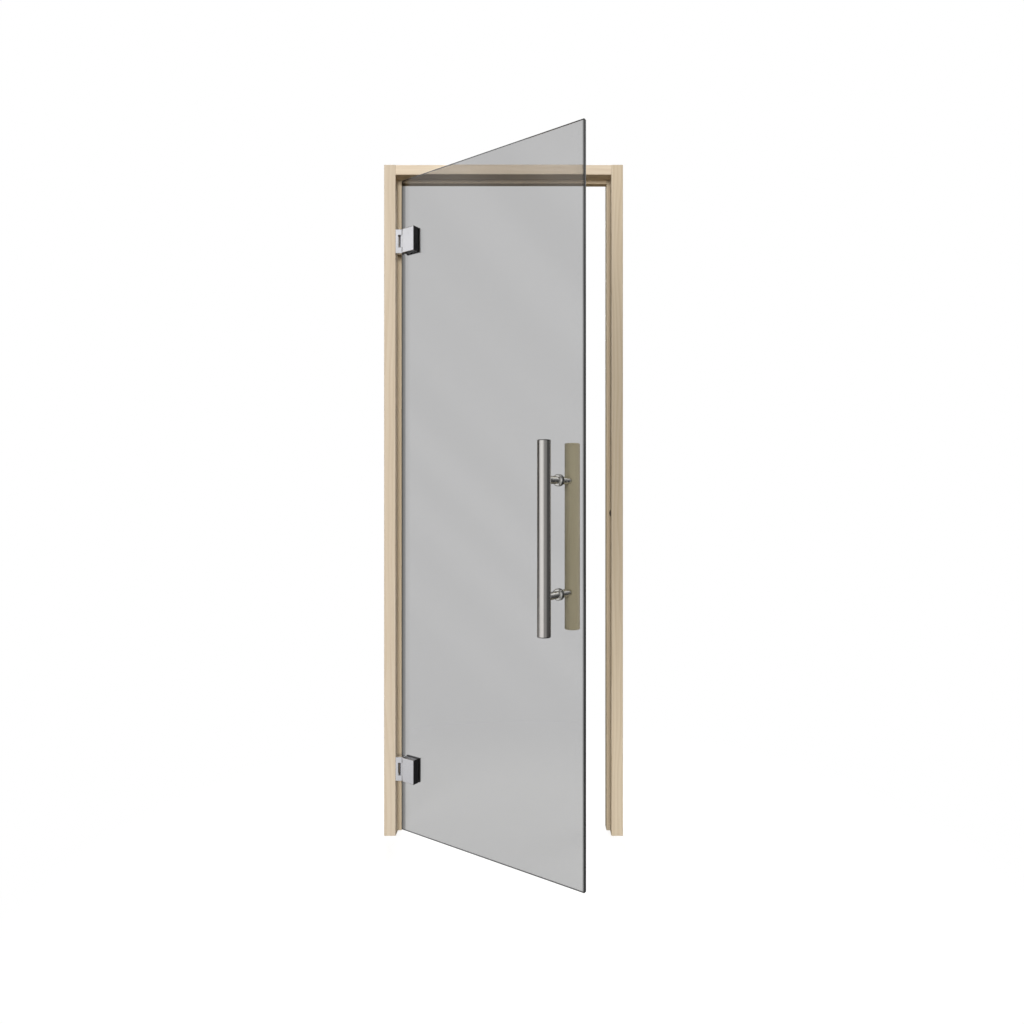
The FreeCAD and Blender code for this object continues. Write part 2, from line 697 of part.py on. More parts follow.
doc.recompute()
for item in doc.Objects:
    if {"Invalid", "Error"} & set(item.State):
        raise RuntimeError(f"{item.Label} failed to build")
    if item.TypeId == "PartDesign::Pocket":
        if near(item.Shape.Volume, item.BaseFeature.Shape.Volume):
            raise RuntimeError(f"{item.Label} cuts nothing")

sub_parts = [item for item in doc.Objects
             if item.TypeId == "PartDesign::Body" or item.TypeId == "Part::Feature"]
os.makedirs("parts", exist_ok=True)
for item in sub_parts:
    if item.Shape.isNull() or not item.Shape.isValid():
        raise RuntimeError(f"{item.Label} has no sound shape")
    item.Shape.exportStep(f"parts/{item.Label}.step")
    box = item.Shape.BoundBox
    print(f"{item.Label}: {len(item.Shape.Solids)} solid(s), {item.Shape.Volume / 1000:.1f} cm3, "
          f"{box.XLength:.1f} x {box.YLength:.1f} x {box.ZLength:.1f} mm")
print(f"{len(sub_parts)} sub-parts")
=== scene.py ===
"""Sauna door: smoked glass leaf on two clamp hinges in a pale timber frame, with a pull through it."""

import bpy
import numpy as np
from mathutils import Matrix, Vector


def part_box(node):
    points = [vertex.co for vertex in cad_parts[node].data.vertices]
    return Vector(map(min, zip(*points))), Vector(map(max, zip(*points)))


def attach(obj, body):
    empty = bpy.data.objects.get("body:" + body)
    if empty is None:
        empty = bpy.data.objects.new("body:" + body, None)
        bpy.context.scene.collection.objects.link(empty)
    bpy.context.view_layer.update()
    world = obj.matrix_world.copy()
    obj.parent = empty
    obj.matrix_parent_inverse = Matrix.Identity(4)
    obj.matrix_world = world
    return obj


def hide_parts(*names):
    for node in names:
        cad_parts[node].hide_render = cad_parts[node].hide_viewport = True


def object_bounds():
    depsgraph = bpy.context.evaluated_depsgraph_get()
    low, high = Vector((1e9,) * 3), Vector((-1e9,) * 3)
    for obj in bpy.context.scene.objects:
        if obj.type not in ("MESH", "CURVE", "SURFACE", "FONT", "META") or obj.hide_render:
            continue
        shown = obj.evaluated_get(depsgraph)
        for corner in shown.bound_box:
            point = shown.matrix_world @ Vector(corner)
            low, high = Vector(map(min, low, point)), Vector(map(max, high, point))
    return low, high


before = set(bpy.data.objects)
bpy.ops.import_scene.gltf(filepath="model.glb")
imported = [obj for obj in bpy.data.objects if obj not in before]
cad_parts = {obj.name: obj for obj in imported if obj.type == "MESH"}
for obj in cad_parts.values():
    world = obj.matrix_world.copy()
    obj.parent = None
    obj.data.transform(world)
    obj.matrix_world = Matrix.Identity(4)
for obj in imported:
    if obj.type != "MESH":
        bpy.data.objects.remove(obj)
cad_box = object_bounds()
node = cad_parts

# Camera
# The door is seen square on to its frame, from 2.1 m in front and a little above half its height.
# The picture is cropped off centre, which the lens shift follows. Lengths in pixels are the picture's.
PICTURE_PIXELS = 1024
FOCAL_PIXELS = 705.1
CENTRE_PIXEL = (534.3, 501.7)
SENSOR_MM = 36.0
EYE = (0.4402, -2.0997, 0.9785)
camera_data = bpy.data.cameras.new("camera")
camera_data.sensor_width = SENSOR_MM
camera_data.lens = SENSOR_MM * FOCAL_PIXELS / PICTURE_PIXELS
camera_data.shift_x = (PICTURE_PIXELS / 2 - CENTRE_PIXEL[0]) / PICTURE_PIXELS
camera_data.shift_y = (CENTRE_PIXEL[1] - PICTURE_PIXELS / 2) / PICTURE_PIXELS
camera = bpy.data.objects.new("camera", camera_data)
camera.location = EYE
camera.rotation_euler = (np.pi / 2, 0.0, 0.0)
bpy.context.scene.collection.objects.link(camera)
bpy.context.scene.camera = camera
bpy.context.scene.view_settings.view_transform = "Standard"


# Studio
# Plain white stands behind the door, seen directly and through its glass, above a white floor. Metal
# and glass mirror a room with one broad soft panel to the front left, one behind, and dimmer sides.
def lay(tree, kind, feeds=None, **settings):
    """Lay one node in a tree: settings are its attributes, and feeds its inputs by name or number,
    each a plain value or another node's output."""
    made = tree.nodes.new("ShaderNode" + kind)
    for name, value in settings.items():
        setattr(made, name, value)
    for key, value in (feeds or {}).items():
        if isinstance(value, bpy.types.NodeSocket):
            tree.links.new(value, made.inputs[key])
        else:
            made.inputs[key].default_value = value
    return made


def work_out(tree, operation, *values):
    """The output of one Math node on these values or outputs."""
    return lay(tree, "Math", dict(enumerate(values)), operation=operation).outputs[0]


def ease(tree, value, low, high, at_low=0.0, at_high=1.0):
    """A smooth step: at_low below low, at_high above high, and an S curve between."""
    return lay(tree, "MapRange", {0: value, 1: low, 2: high, 3: at_low, 4: at_high},
               interpolation_type="SMOOTHSTEP").outputs[0]


def blend(tree, share, first, second):
    """A plain value that goes from first to second as share goes from 0 to 1."""
    return lay(tree, "Mix", {0: share, 2: first, 3: second}).outputs[0]


def blend_colour(tree, share, first, second):
    """A colour that goes from first to second as share goes from 0 to 1."""
    return lay(tree, "Mix", {0: share, 6: first, 7: second}, data_type="RGBA").outputs[2]


def first_sight(tree, ray):
    """1 where the camera sees a thing directly or through glass, 0 once light has been thrown back by
    anything on its way."""
    direct = work_out(tree, "MAXIMUM", ray.outputs["Is Camera Ray"], ray.outputs["Is Transmission Ray"])
    turned = work_out(tree, "ADD", ray.outputs["Diffuse Depth"], ray.outputs["Glossy Depth"])
    return work_out(tree, "MULTIPLY", direct, work_out(tree, "LESS_THAN", turned, 0.5))


def mirrored_sight(tree, ray):
    """1 once something shiny has thrown light back and nothing matt has, through glass or not."""
    thrown = work_out(tree, "GREATER_THAN", ray.outputs["Glossy Depth"], 0.5)
    unscattered = work_out(tree, "LESS_THAN", ray.outputs["Diffuse Depth"], 0.5)
    return work_out(tree, "MULTIPLY", thrown, unscattered)


WHITE = (1.0, 1.0, 1.0, 1.0)
ROOM_ON_MATT = (0.2, 0.174, 0.134, 1.0)
CEILING_TONE = 0.5
# Once round the room from straight behind the door, by its left and its front: the bearing in degrees
# from the camera's side, the tone of the wall there and the tone of the floor below it
ROUND_THE_ROOM = [
    (-180, 0.12, 0.05), (-168, 0.15, 0.05), (-156, 0.75, 0.05), (-146, 0.09, 0.05), (-92, 0.09, 0.5),
    (-80, 0.93, 0.55), (-50, 1.08, 0.6), (-14, 1.0, 0.68), (-1, 0.37, 0.4), (34, 0.34, 0.05),
    (60, 0.1, 0.05), (104, 0.09, 0.05), (130, 0.75, 0.05), (154, 0.8, 0.05), (166, 0.15, 0.05),
    (180, 0.12, 0.05)]
world = bpy.data.worlds.new("studio")
bpy.context.scene.world = world
world.use_nodes = True
tree = world.node_tree
tree.nodes.clear()
ray = lay(tree, "LightPath")
toward = lay(tree, "SeparateXYZ", {0: lay(tree, "TexCoord").outputs["Generated"]}).outputs
bearing = work_out(tree, "ARCTAN2", toward[0], work_out(tree, "MULTIPLY", toward[1], -1.0))
rise = work_out(tree, "ARCSINE", toward[2])
walls = lay(tree, "ValToRGB", {0: work_out(tree, "MULTIPLY_ADD", bearing, 0.5 / np.pi, 0.5)})
walls.color_ramp.interpolation = "EASE"
while len(walls.color_ramp.elements) < len(ROUND_THE_ROOM):
    walls.color_ramp.elements.new(0.5)
for stop, (degrees, wall_tone, floor_tone) in zip(walls.color_ramp.elements, ROUND_THE_ROOM):
    stop.position = 0.5 + degrees / 360
    stop.color = (wall_tone, wall_tone, wall_tone, floor_tone)
slant = work_out(tree, "ADD", bearing, rise)
panel_ribs = lay(tree, "TexNoise", {"W": slant, "Scale": 5.5, "Detail": 1.0},
                 noise_dimensions="1D").outputs[0]
ribbed = ease(tree, panel_ribs, 0.38, 0.62, at_low=0.78, at_high=1.12)
room = work_out(tree, "MULTIPLY", walls.outputs[0], ribbed)
# Higher up the room darkens in front of the door and brightens behind it, below one even ceiling
high_in_front = ease(tree, rise, 0.42, 0.62, at_low=1.0, at_high=0.2)
high_behind = ease(tree, rise, 0.1, 0.4, at_low=1.0, at_high=2.7)
overhead = blend(tree, ease(tree, toward[1], 0.1, 0.5), high_in_front, high_behind)
room = work_out(tree, "MULTIPLY", room, overhead)
room = blend(tree, ease(tree, rise, 0.85, 1.1), room, CEILING_TONE)
# Behind the door the floor reaches higher up the mirrored room than in front of it
above_floor = work_out(tree, "ADD", rise, ease(tree, toward[1], 0.0, 0.4, at_low=0.0, at_high=-0.2))
mirrored = blend(tree, ease(tree, above_floor, -0.4, -0.18), walls.outputs[1], room)
colour = blend_colour(tree, mirrored_sight(tree, ray), ROOM_ON_MATT, mirrored)
colour = blend_colour(tree, first_sight(tree, ray), colour, WHITE)
background = lay(tree, "Background", {"Color": colour, "Strength": 1.0})
lay(tree, "OutputWorld", {"Surface": background.outputs[0]})


def shine(name, bearing, height, spread, strength):
    """A far soft light: its bearing in degrees to the right of the camera's side of the door, its height
    above the horizon and its apparent width. Only what it lights shows, not the light."""
    light = bpy.data.lights.new(name, "SUN")
    light.angle = np.radians(spread)
    light.energy = strength
    holder = bpy.data.objects.new(name, light)
    holder.rotation_euler = (np.radians(90.0 - height), 0.0, np.radians(bearing))
    holder.visible_camera = holder.visible_transmission = holder.visible_glossy = False
    bpy.context.scene.collection.objects.link(holder)


shine("key_light", bearing=-2.0, height=15.0, spread=36.0, strength=2.6)
shine("fill_light", bearing=-72.0, height=15.0, spread=40.0, strength=0.5)
shine("side_light", bearing=116.0, height=25.0, spread=40.0, strength=0.8)
shine("back_light", bearing=188.0, height=20.0, spread=24.0, strength=2.1)

# Near the door the floor takes its shadows, and further out it glows plain white. Mirrors don't see it:
# theirs is the floor of the room above. To all other light it is a warm grey that throws some back.
FLOOR_HALF = 40.0
FLOOR_TOP = -0.0006
DOOR_FOOT = (0.42, -0.25, 0.0)
SHADED_TO, WHITE_FROM = 0.5, 1.3
floor_corners = [(x * FLOOR_HALF, y * FLOOR_HALF, FLOOR_TOP)
                 for x, y in ((-1, -1), (1, -1), (1, 1), (-1, 1))]
floor_mesh = bpy.data.meshes.new("floor")
floor_mesh.from_pydata(floor_corners, [], [(0, 1, 2, 3)])
floor = bpy.data.objects.new("floor", floor_mesh)
bpy.context.scene.collection.objects.link(floor)
sweep = bpy.data.materials.new("floor_sweep")
sweep.use_nodes = True
tree = sweep.node_tree
tree.nodes.clear()
ray = lay(tree, "LightPath")
from_door = lay(tree, "VectorMath", {0: lay(tree, "TexCoord").outputs["Object"], 1: DOOR_FOOT},
                operation="DISTANCE").outputs["Value"]
pale = lay(tree, "BsdfDiffuse", {"Color": (0.4, 0.41, 0.42, 1.0)})
pale_glow = lay(tree, "Emission", {"Color": WHITE, "Strength": 0.79})
near = lay(tree, "AddShader", {0: pale.outputs[0], 1: pale_glow.outputs[0]})
far = lay(tree, "Emission", {"Color": WHITE, "Strength": 1.0})
lit = lay(tree, "MixShader", {0: ease(tree, from_door, SHADED_TO, WHITE_FROM), 1: near.outputs[0],
                              2: far.outputs[0]})
bounce = lay(tree, "BsdfDiffuse", {"Color": (0.26, 0.222, 0.17, 1.0)})
open_below = lay(tree, "BsdfTransparent")
unseen = lay(tree, "MixShader", {0: mirrored_sight(tree, ray), 1: bounce.outputs[0],
                                 2: open_below.outputs[0]})
both = lay(tree, "MixShader", {0: first_sight(tree, ray), 1: unseen.outputs[0], 2: lit.outputs[0]})
lay(tree, "OutputMaterial", {"Surface": both.outputs[0]})
floor_mesh.materials.append(sweep)


# Jambs and head rail
# Three planed boards of one pale, even, clear timber, left bare. The two jambs stand on the floor at
# full height and the head rail is screwed between them. Each is cut from its own place in the log.
def new_group(name, inputs, outputs):
    """Start a shader node group from two dicts of socket name to kind: its tree, its source's outputs
    and its sink's inputs."""
    group = bpy.data.node_groups.new(name, "ShaderNodeTree")
    for way, sockets in (("INPUT", inputs), ("OUTPUT", outputs)):
        for label, kind in sockets.items():
            group.interface.new_socket(label, in_out=way, socket_type="NodeSocket" + kind)
    return group, group.nodes.new("NodeGroupInput").outputs, group.nodes.new("NodeGroupOutput").inputs


def stretch(tree, place, scale):
    """Place scaled differently along each axis."""
    return lay(tree, "VectorMath", {0: place, 1: scale}, operation="MULTIPLY").outputs[0]


def add_share(tree, pattern, share, total):
    """Total plus a share of a pattern about its middle value."""
    return work_out(tree, "MULTIPLY_ADD", work_out(tree, "SUBTRACT", pattern, 0.5), share, total)


def make_grain_group():
    """Timber about a pith that runs along Z. Growth rings are whole steps of the wandering distance from
    the pith over the ring width: pale early wood darkens to late wood and drops back, some years more
    than others. Fine fibres, short pores and a slow drift of tone run lengthwise. Sawn ends are darker."""
    group, source, sink = new_group(
        "wood_grain",
        {"Place": "Vector", "Facing": "Vector", "Pith": "Vector", "Early": "Color", "Late": "Color",
         "Ring Width": "Float", "Figure": "Float", "Tone": "Float", "Roughness": "Float"},
        {"Color": "Color", "Roughness": "Float", "Height": "Float"})
    place = source["Place"]
    # The log grew unevenly: its rings wander by up to 17 mm
    wander = lay(group, "TexNoise", {"Vector": stretch(group, place, (7.0, 7.0, 1.3)), "Scale": 1.0,
                                     "Detail": 2.0, "Roughness": 0.45}).outputs[1]
    wander = lay(group, "VectorMath", {0: wander, 1: (0.5, 0.5, 0.5)}, operation="SUBTRACT").outputs[0]
    from_pith = lay(group, "VectorMath", {0: place, 1: source["Pith"]}, operation="SUBTRACT").outputs[0]
    across = stretch(group, from_pith, (1.0, 1.0, 0.0))
    bent = lay(group, "VectorMath", {0: wander, 1: (0.034, 0.034, 0.0), 2: across},
               operation="MULTIPLY_ADD").outputs[0]
    radius = lay(group, "VectorMath", {0: bent}, operation="LENGTH").outputs["Value"]
    rings = work_out(group, "DIVIDE", radius, source["Ring Width"])
    part = work_out(group, "FRACT", rings)
    year = lay(group, "TexWhiteNoise", {"W": work_out(group, "FLOOR", rings)},
               noise_dimensions="1D").outputs[0]
    # Late wood deepens through the ring, drops back at its end, and is fainter in some years
    darkening = ease(group, part, 0.25, 0.92)
    drop = ease(group, part, 0.93, 1.0, at_low=1.0, at_high=0.0)
    late = work_out(group, "MULTIPLY", darkening, drop)
    late = work_out(group, "MULTIPLY", late, ease(group, year, 0.0, 1.0, at_low=0.45, at_high=1.0))
    # Fibres, streaks and pores are drawn out along the board
    fibre = lay(group, "TexNoise", {"Vector": stretch(group, place, (1.0, 1.0, 0.014)), "Scale": 1250.0,
                                    "Detail": 3.0, "Roughness": 0.6}).outputs[0]
    streak = lay(group, "TexNoise", {"Vector": stretch(group, place, (1.0, 1.0, 0.02)), "Scale": 190.0,
                                     "Detail": 2.0}).outputs[0]
    drift = lay(group, "TexNoise", {"Vector": stretch(group, place, (22.0, 22.0, 1.1)), "Scale": 1.0,
                                    "Detail": 1.0}).outputs[0]
    pore = lay(group, "TexVoronoi", {"Vector": stretch(group, place, (1.0, 1.0, 0.08)),
                                     "Scale": 950.0}).outputs[0]
    pore = ease(group, pore, 0.08, 0.2, at_low=1.0, at_high=0.0)
    depth = work_out(group, "MULTIPLY", late, source["Figure"])
    for pattern, share in ((fibre, 0.55), (streak, 0.5), (drift, 0.8)):
        depth = add_share(group, pattern, share, depth)
    depth = work_out(group, "ADD", depth, 0.22)
    colour = blend_colour(group, depth, source["Early"], source["Late"])
    sawn = lay(group, "SeparateXYZ", {0: source["Facing"]}).outputs[2]
    sawn = ease(group, work_out(group, "ABSOLUTE", sawn), 0.55, 0.85)
    shade = work_out(group, "MULTIPLY_ADD", pore, -0.1, 1.0)
    shade = work_out(group, "MULTIPLY", shade, work_out(group, "MULTIPLY_ADD", sawn, -0.2, 1.0))
    shade = work_out(group, "MULTIPLY", shade, source["Tone"])
    colour = lay(group, "VectorMath", {0: colour, "Scale": shade}, operation="SCALE").outputs[0]
    group.links.new(colour, sink["Color"])
    uneven = work_out(group, "ADD", fibre, late)
    rough = work_out(group, "MULTIPLY_ADD", uneven, 0.08, source["Roughness"])
    group.links.new(work_out(group, "MULTIPLY_ADD", sawn, 0.15, rough), sink["Roughness"])
    height = work_out(group, "MULTIPLY_ADD", late, 0.35, fibre)
    group.links.new(work_out(group, "MULTIPLY_ADD", pore, -0.8, height), sink["Height"])
    return group


wood_grain = make_grain_group()


def new_finish(name, **values):
    """A material with one shader that holds these constants: the material, its tree and its shader."""
    made = bpy.data.materials.new(name)
    made.use_nodes = True
    shader = made.node_tree.nodes["Principled BSDF"]
    for label, value in values.items():
        shader.inputs[label.replace("_", " ")].default_value = value
    return made, made.node_tree, shader


def feed(tree, shader, outputs, bump, relief):
    """Join a group's outputs to the shader: colour where it has one, roughness, and its height as a bump
    of a strength and a relief in metres."""
    if "Color" in outputs:
        tree.links.new(outputs["Color"], shader.inputs["Base Color"])
    tree.links.new(outputs["Roughness"], shader.inputs["Roughness"])
    raised = lay(tree, "Bump", {"Strength": bump, "Distance": relief, "Height": outputs["Height"]})
    tree.links.new(raised.outputs[0], shader.inputs["Normal"])


def centred(tree, value, middle=(0.0, 0.0, 0.0), tilt=(0.0, 0.0, 0.0)):
    """A place or direction seen from a middle and turned by a tilt."""
    return lay(tree, "Mapping", {"Vector": value, "Location": middle, "Rotation": tilt},
               vector_type="TEXTURE").outputs[0]


UPRIGHT = (0.0, 0.0, 0.0)
LENGTH_ALONG_X = (0.0, np.pi / 2, 0.0)
BOARD_EARLY = (0.735, 0.64, 0.515, 1.0)
BOARD_LATE = (0.565, 0.455, 0.325, 1.0)


def make_timber(name, middle, pith, ring_width=0.0042, figure=0.42, tone=1.0, tilt=UPRIGHT,
                early=BOARD_EARLY, late=BOARD_LATE, roughness=0.5, shading=None):
    """Timber of one board: the pattern is centred on the board and turned so that its length is Z.
    Shading, where given, works out the tone from the place on the board."""
    made, tree, shader = new_finish(name, IOR=1.45)
    at = lay(tree, "TexCoord").outputs
    place = centred(tree, at["Object"], middle, tilt)
    facing = centred(tree, at["Normal"], tilt=tilt)
    if shading:
        tone = shading(tree, lay(tree, "SeparateXYZ", {0: place}).outputs[2])
    grown = lay(tree, "Group", {"Place": place, "Facing": facing, "Pith": pith, "Early": early,
                                "Late": late, "Ring Width": ring_width, "Figure": figure, "Tone": tone,
                                "Roughness": roughness}, node_tree=wood_grain)
    feed(tree, shader, grown.outputs, bump=0.35, relief=0.00025)
    return made


def finish_nodes(names, material):
    """Give CAD nodes one material, in place of what they came with."""
    for name in names:
        node[name].data.materials.clear()
        node[name].data.materials.append(material)


def painted_light_along_head(tree, along):
    """The tone of a board that is palest over its middle, and at its left end paler than at its right, as
    painted light.
    """
    risen = ease(tree, along, -0.25, -0.14, at_low=1.12, at_high=1.37)
    return work_out(tree, "SUBTRACT", risen, ease(tree, along, 0.2, 0.26, at_low=0.0, at_high=0.31))


def painted_leaf_shadow(tree, along):
    """The tone of a board that is browner half way up than at its ends, and palest at its foot: painted
    shadow of the open leaf and its pull.
    """
    above = ease(tree, along, 0.35, 1.0, at_low=0.0, at_high=0.23)
    below = ease(tree, along, -0.8, 0.02, at_low=0.28, at_high=0.0)
    return work_out(tree, "ADD", work_out(tree, "ADD", above, below), 0.685)


FRAME_WIDE, _, FRAME_TALL = cad_box[1]
JAMB_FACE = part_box("hinge_jamb")[1].x
HEAD_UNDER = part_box("head_rail")[0].z
HEAD_MIDDLE_Z = (HEAD_UNDER + FRAME_TALL) / 2
# The height that a jamb's grain pattern is centred on
HALF_UP = 0.98
finish_nodes(["hinge_jamb"], make_timber("hinge_jamb_wood", (JAMB_FACE / 2, 0.0, HALF_UP),
                                         (-0.06, 0.125, 0.0), tone=0.95))
# The latch jamb's tone carries a painted shadow of the open leaf and its pull
finish_nodes(["latch_jamb"], make_timber("latch_jamb_wood", (FRAME_WIDE - JAMB_FACE / 2, 0.0, HALF_UP),
                                         (0.05, 0.11, 0.0), early=(0.735, 0.635, 0.49, 1.0),
                                         late=(0.565, 0.45, 0.305, 1.0), shading=painted_leaf_shadow))
# The head rail's tone carries painted light, palest over its middle and at its left end
finish_nodes(["head_rail"], make_timber("head_rail_wood", (FRAME_WIDE / 2, 0.0, HEAD_MIDDLE_Z),
                                        (0.04, 0.13, 0.0), tilt=LENGTH_ALONG_X, shading=painted_light_along_head))

# Stop strips
# Thinner strips of the same timber, pinned inside the jambs and under the head so that the closed glass
# has something to meet. Their browner colours are painted shade of the rebates they sit in.
STOP_EDGE, STOP_DEEP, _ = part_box("hinge_stop")[1]
STOP_X = (JAMB_FACE + STOP_EDGE) / 2
HEAD_STOP_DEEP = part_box("head_stop")[1].y
HEAD_STOP_Z = HEAD_UNDER - (STOP_EDGE - JAMB_FACE) / 2
SHADED_STRIP_EARLY = (0.72, 0.612, 0.455, 1.0)
SHADED_STRIP_LATE = (0.55, 0.43, 0.28, 1.0)
# Each tone is painted light and shade: latch stop darkest, hinge stop darker, head stop lifted
for name, middle, pith, ring_width, tone, tilt in (
        ("hinge_stop", (STOP_X, STOP_DEEP / 2, HALF_UP), (0.05, 0.035, 0.0), 0.0034, 0.9, UPRIGHT),
        ("latch_stop", (FRAME_WIDE - STOP_X, STOP_DEEP / 2, HALF_UP), (-0.045, 0.04, 0.0),
         0.0036, 0.74, UPRIGHT),
        ("head_stop", (FRAME_WIDE / 2, HEAD_STOP_DEEP / 2, HEAD_STOP_Z), (0.05, 0.04, 0.0),
         0.0032, 1.1, LENGTH_ALONG_X)):
    finish_nodes([name], make_timber(f"{name}_wood", middle, pith, ring_width, tone=tone, tilt=tilt,
                                     early=SHADED_STRIP_EARLY, late=SHADED_STRIP_LATE))


# Corner screws
# Two bright zinc screws at each top corner, driven from outside through the jamb into the head rail.
# Countersunk heads with a pressed hexagon socket, and a coarse cut thread that runs out to a point.
def wrap_mesh(name, grids, ring=False):
    """One mesh of equal grids of points (grid, row, column). Columns close on themselves, and a ring's
    last row joins its first. Otherwise the first and last rows are each closed by a fan to their middle.
    Faces look the way of the step along a row crossed with the step to the next row."""
    count, rows, columns = grids.shape[:3]
    caps = 0 if ring else 2
    start = np.arange(count) * (rows * columns + caps)
    index = start[:, None, None] + np.arange(rows * columns).reshape(rows, columns)
    after = np.roll(index, -1, axis=2)
    squares = np.stack([index, after, np.roll(after, -1, axis=1), np.roll(index, -1, axis=1)], axis=-1)
    faces = squares[:, :rows if ring else rows - 1].reshape(-1, 4).tolist()
    points = grids.reshape(count, rows * columns, 3)
    if not ring:
        points = np.concatenate([points, grids[:, [0, -1]].mean(axis=2)], axis=1)
        first = (start + rows * columns)[:, None] + np.zeros(columns, dtype=int)
        faces += np.stack([first, after[:, 0], index[:, 0]], axis=-1).reshape(-1, 3).tolist()
        faces += np.stack([first + 1, index[:, -1], after[:, -1]], axis=-1).reshape(-1, 3).tolist()
    mesh = bpy.data.meshes.new(name)
    mesh.from_pydata(points.reshape(-1, 3).tolist(), [], faces)
    mesh.polygons.foreach_set("use_smooth", np.ones(len(mesh.polygons), dtype=bool))
    mesh.set_sharp_from_angle(angle=np.radians(38.0))
    mesh.update()
    return mesh


def put_piece(name, mesh, material, body, slot, *stands_for):
    """Show a mesh as a piece that rides on a body and stands for these CAD nodes."""
    piece = bpy.data.objects.new(name, mesh)
    bpy.context.scene.collection.objects.link(piece)
    mesh.materials.append(material)
    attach(piece, body)
    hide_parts(*stands_for)


def carry_round(radius, along, starts, axis, side, columns):
    """Grids of a profile carried round an axis: at each angle a point is its start, plus the profile's
    distance along the axis, plus its radius times the turning direction between side and
    axis crossed with side. The radius may differ with the angle."""
    angle = np.arange(columns) * 2 * np.pi / columns
    turning = np.outer(np.cos(angle), side) + np.outer(np.sin(angle), np.cross(axis, side))
    radius = np.broadcast_to(np.reshape(radius, (len(along), -1)), (len(along), columns))
    grid = radius[:, :, None] * turning + np.asarray(along)[:, None, None] * np.asarray(axis)
    return np.asarray(starts)[:, None, None] + grid


def screw_grids(head, shank, length, socket, pitch, starts, axis, side, point=True):
    """A countersunk screw. The socket's radius at an angle is its corner radius times cos 30 degrees over
    the cosine of the angle from the middle of the nearest flat. The shank's radius falls from crest to
    root and back once a pitch, along a line that climbs one pitch a turn, and ends in a point."""
    columns = 36
    lip, edge, step = 0.0004, 0.00015, 0.00002
    cone = head - shank
    # The socket's wall, from its floor up: shares of its radius and of its depth
    wall = [(0.55, 1.08), (0.97, 1.0), (1.0, 0.93), (1.0, 0.12), (1.07, 0.0)]
    socket_deep = 0.55 * cone + lip
    head_radius = [socket * wide for wide, _ in wall] + [head - lip, head - edge, shank]
    head_along = [socket_deep * deep for _, deep in wall] + [step, lip / 2, cone + edge]
    hexagonal = np.array([1.0] * len(wall) + [0.0] * 3)[:, None]
    angle = np.arange(columns) * 2 * np.pi / columns
    hexagon = np.cos(np.pi / 6) / np.cos(np.mod(angle, np.pi / 3) - np.pi / 6)
    head_grid = np.array(head_radius)[:, None] * (1.0 + hexagonal * (hexagon - 1.0))
    along = np.arange(cone + lip, length, pitch / 5)
    to_end = (length - along)[:, None]
    ridge = np.abs(2 * np.mod(along[:, None] / pitch - angle / (2 * np.pi), 1.0) - 1.0)
    cut = np.clip((along[:, None] - cone - 0.12 * length) / pitch, 0.0, 1.0)
    taper = np.clip(to_end / (3.2 * shank), 0.06, 1.0)
    if not point:
        taper = np.clip(0.6 + to_end / shank, 0.6, 1.0)
    shank_grid = shank * taper * (1.0 - 0.26 * cut * (1.0 - ridge))
    return carry_round(np.vstack([head_grid, shank_grid]), np.concatenate([head_along, along]),
                       starts, axis, side, columns)


def make_metal_group():
    """Worked metal: fine lines from noise read at the stretched Marks place, and broad smudges at Place.
    Roughness is its base value, plus the lines' depth about their mean, plus the smudges."""
    group, source, sink = new_group(
        "worked_metal",
        {"Place": "Vector", "Marks": "Vector", "Fineness": "Float", "Roughness": "Float",
         "Depth": "Float", "Smudge": "Float"},
        {"Roughness": "Float", "Height": "Float"})
    lines = lay(group, "TexNoise", {"Vector": source["Marks"], "Scale": source["Fineness"],
                                    "Detail": 4.0, "Roughness": 0.65}).outputs[0]
    smudge = lay(group, "TexNoise", {"Vector": source["Place"], "Scale": 34.0, "Detail": 3.0,
                                     "Roughness": 0.55}).outputs[0]
    smudge = work_out(group, "MULTIPLY", ease(group, smudge, 0.46, 0.66), source["Smudge"])
    uneven = add_share(group, lines, source["Depth"], source["Roughness"])
    group.links.new(work_out(group, "ADD", uneven, smudge), sink["Roughness"])
    group.links.new(lines, sink["Height"])
    return group


worked_metal = make_metal_group()


def make_metal(name, colour, roughness, fineness, along=(1.0, 1.0, 1.0), tilt=UPRIGHT,
               middle=(0.0, 0.0, 0.0), depth=0.1, smudge=0.05, bump=0.1):
    """Metal whose marks run where along is small, about a middle and turned by tilt."""
    made, tree, shader = new_finish(name, Base_Color=(*colour, 1.0), Metallic=1.0)
    place = centred(tree, lay(tree, "TexCoord").outputs["Object"], middle, tilt)
    worked = lay(tree, "Group", {"Place": place, "Marks": stretch(tree, place, along),
                                 "Fineness": fineness, "Roughness": roughness, "Depth": depth,
                                 "Smudge": smudge}, node_tree=worked_metal)
    feed(tree, shader, worked.outputs, bump, relief=0.00005)
    return made


zinc = make_metal("zinc_plate", colour=(0.62, 0.62, 0.63), roughness=0.32, fineness=900.0, depth=0.3,
                  smudge=0.12, bump=0.2)
UP = np.array([0.0, 0.0, 1.0])
CORNER_SETBACK = 0.018
for name, outer_x, inward in (("left", 0.0, 1.0), ("right", FRAME_WIDE, -1.0)):
    starts = [(outer_x, side * CORNER_SETBACK, HEAD_MIDDLE_Z) for side in (-1, 1)]
    grids = screw_grids(head=0.005, shank=0.0025, length=0.08, socket=0.0023, pitch=0.0024,
                        starts=starts, axis=(inward, 0.0, 0.0), side=UP)
    put_piece(f"corner_screw_pair_{name}", wrap_mesh(f"corner_screw_pair_{name}", grids), zinc,
              "frame", "screw_steel", f"corner_screws_{name}")

# Hinge bases, pins and their screws
# A cast base with a plate, web and two ears, let into the hinge jamb and held by two short wood screws.
# It is polished and satin chrome plated; the pin through its ears is ground bright steel.
LEVELS = ("lower", "upper")


def middle_height(name):
    """The height of a CAD node's middle."""
    low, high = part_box(name)
    return (low.z + high.z) / 2


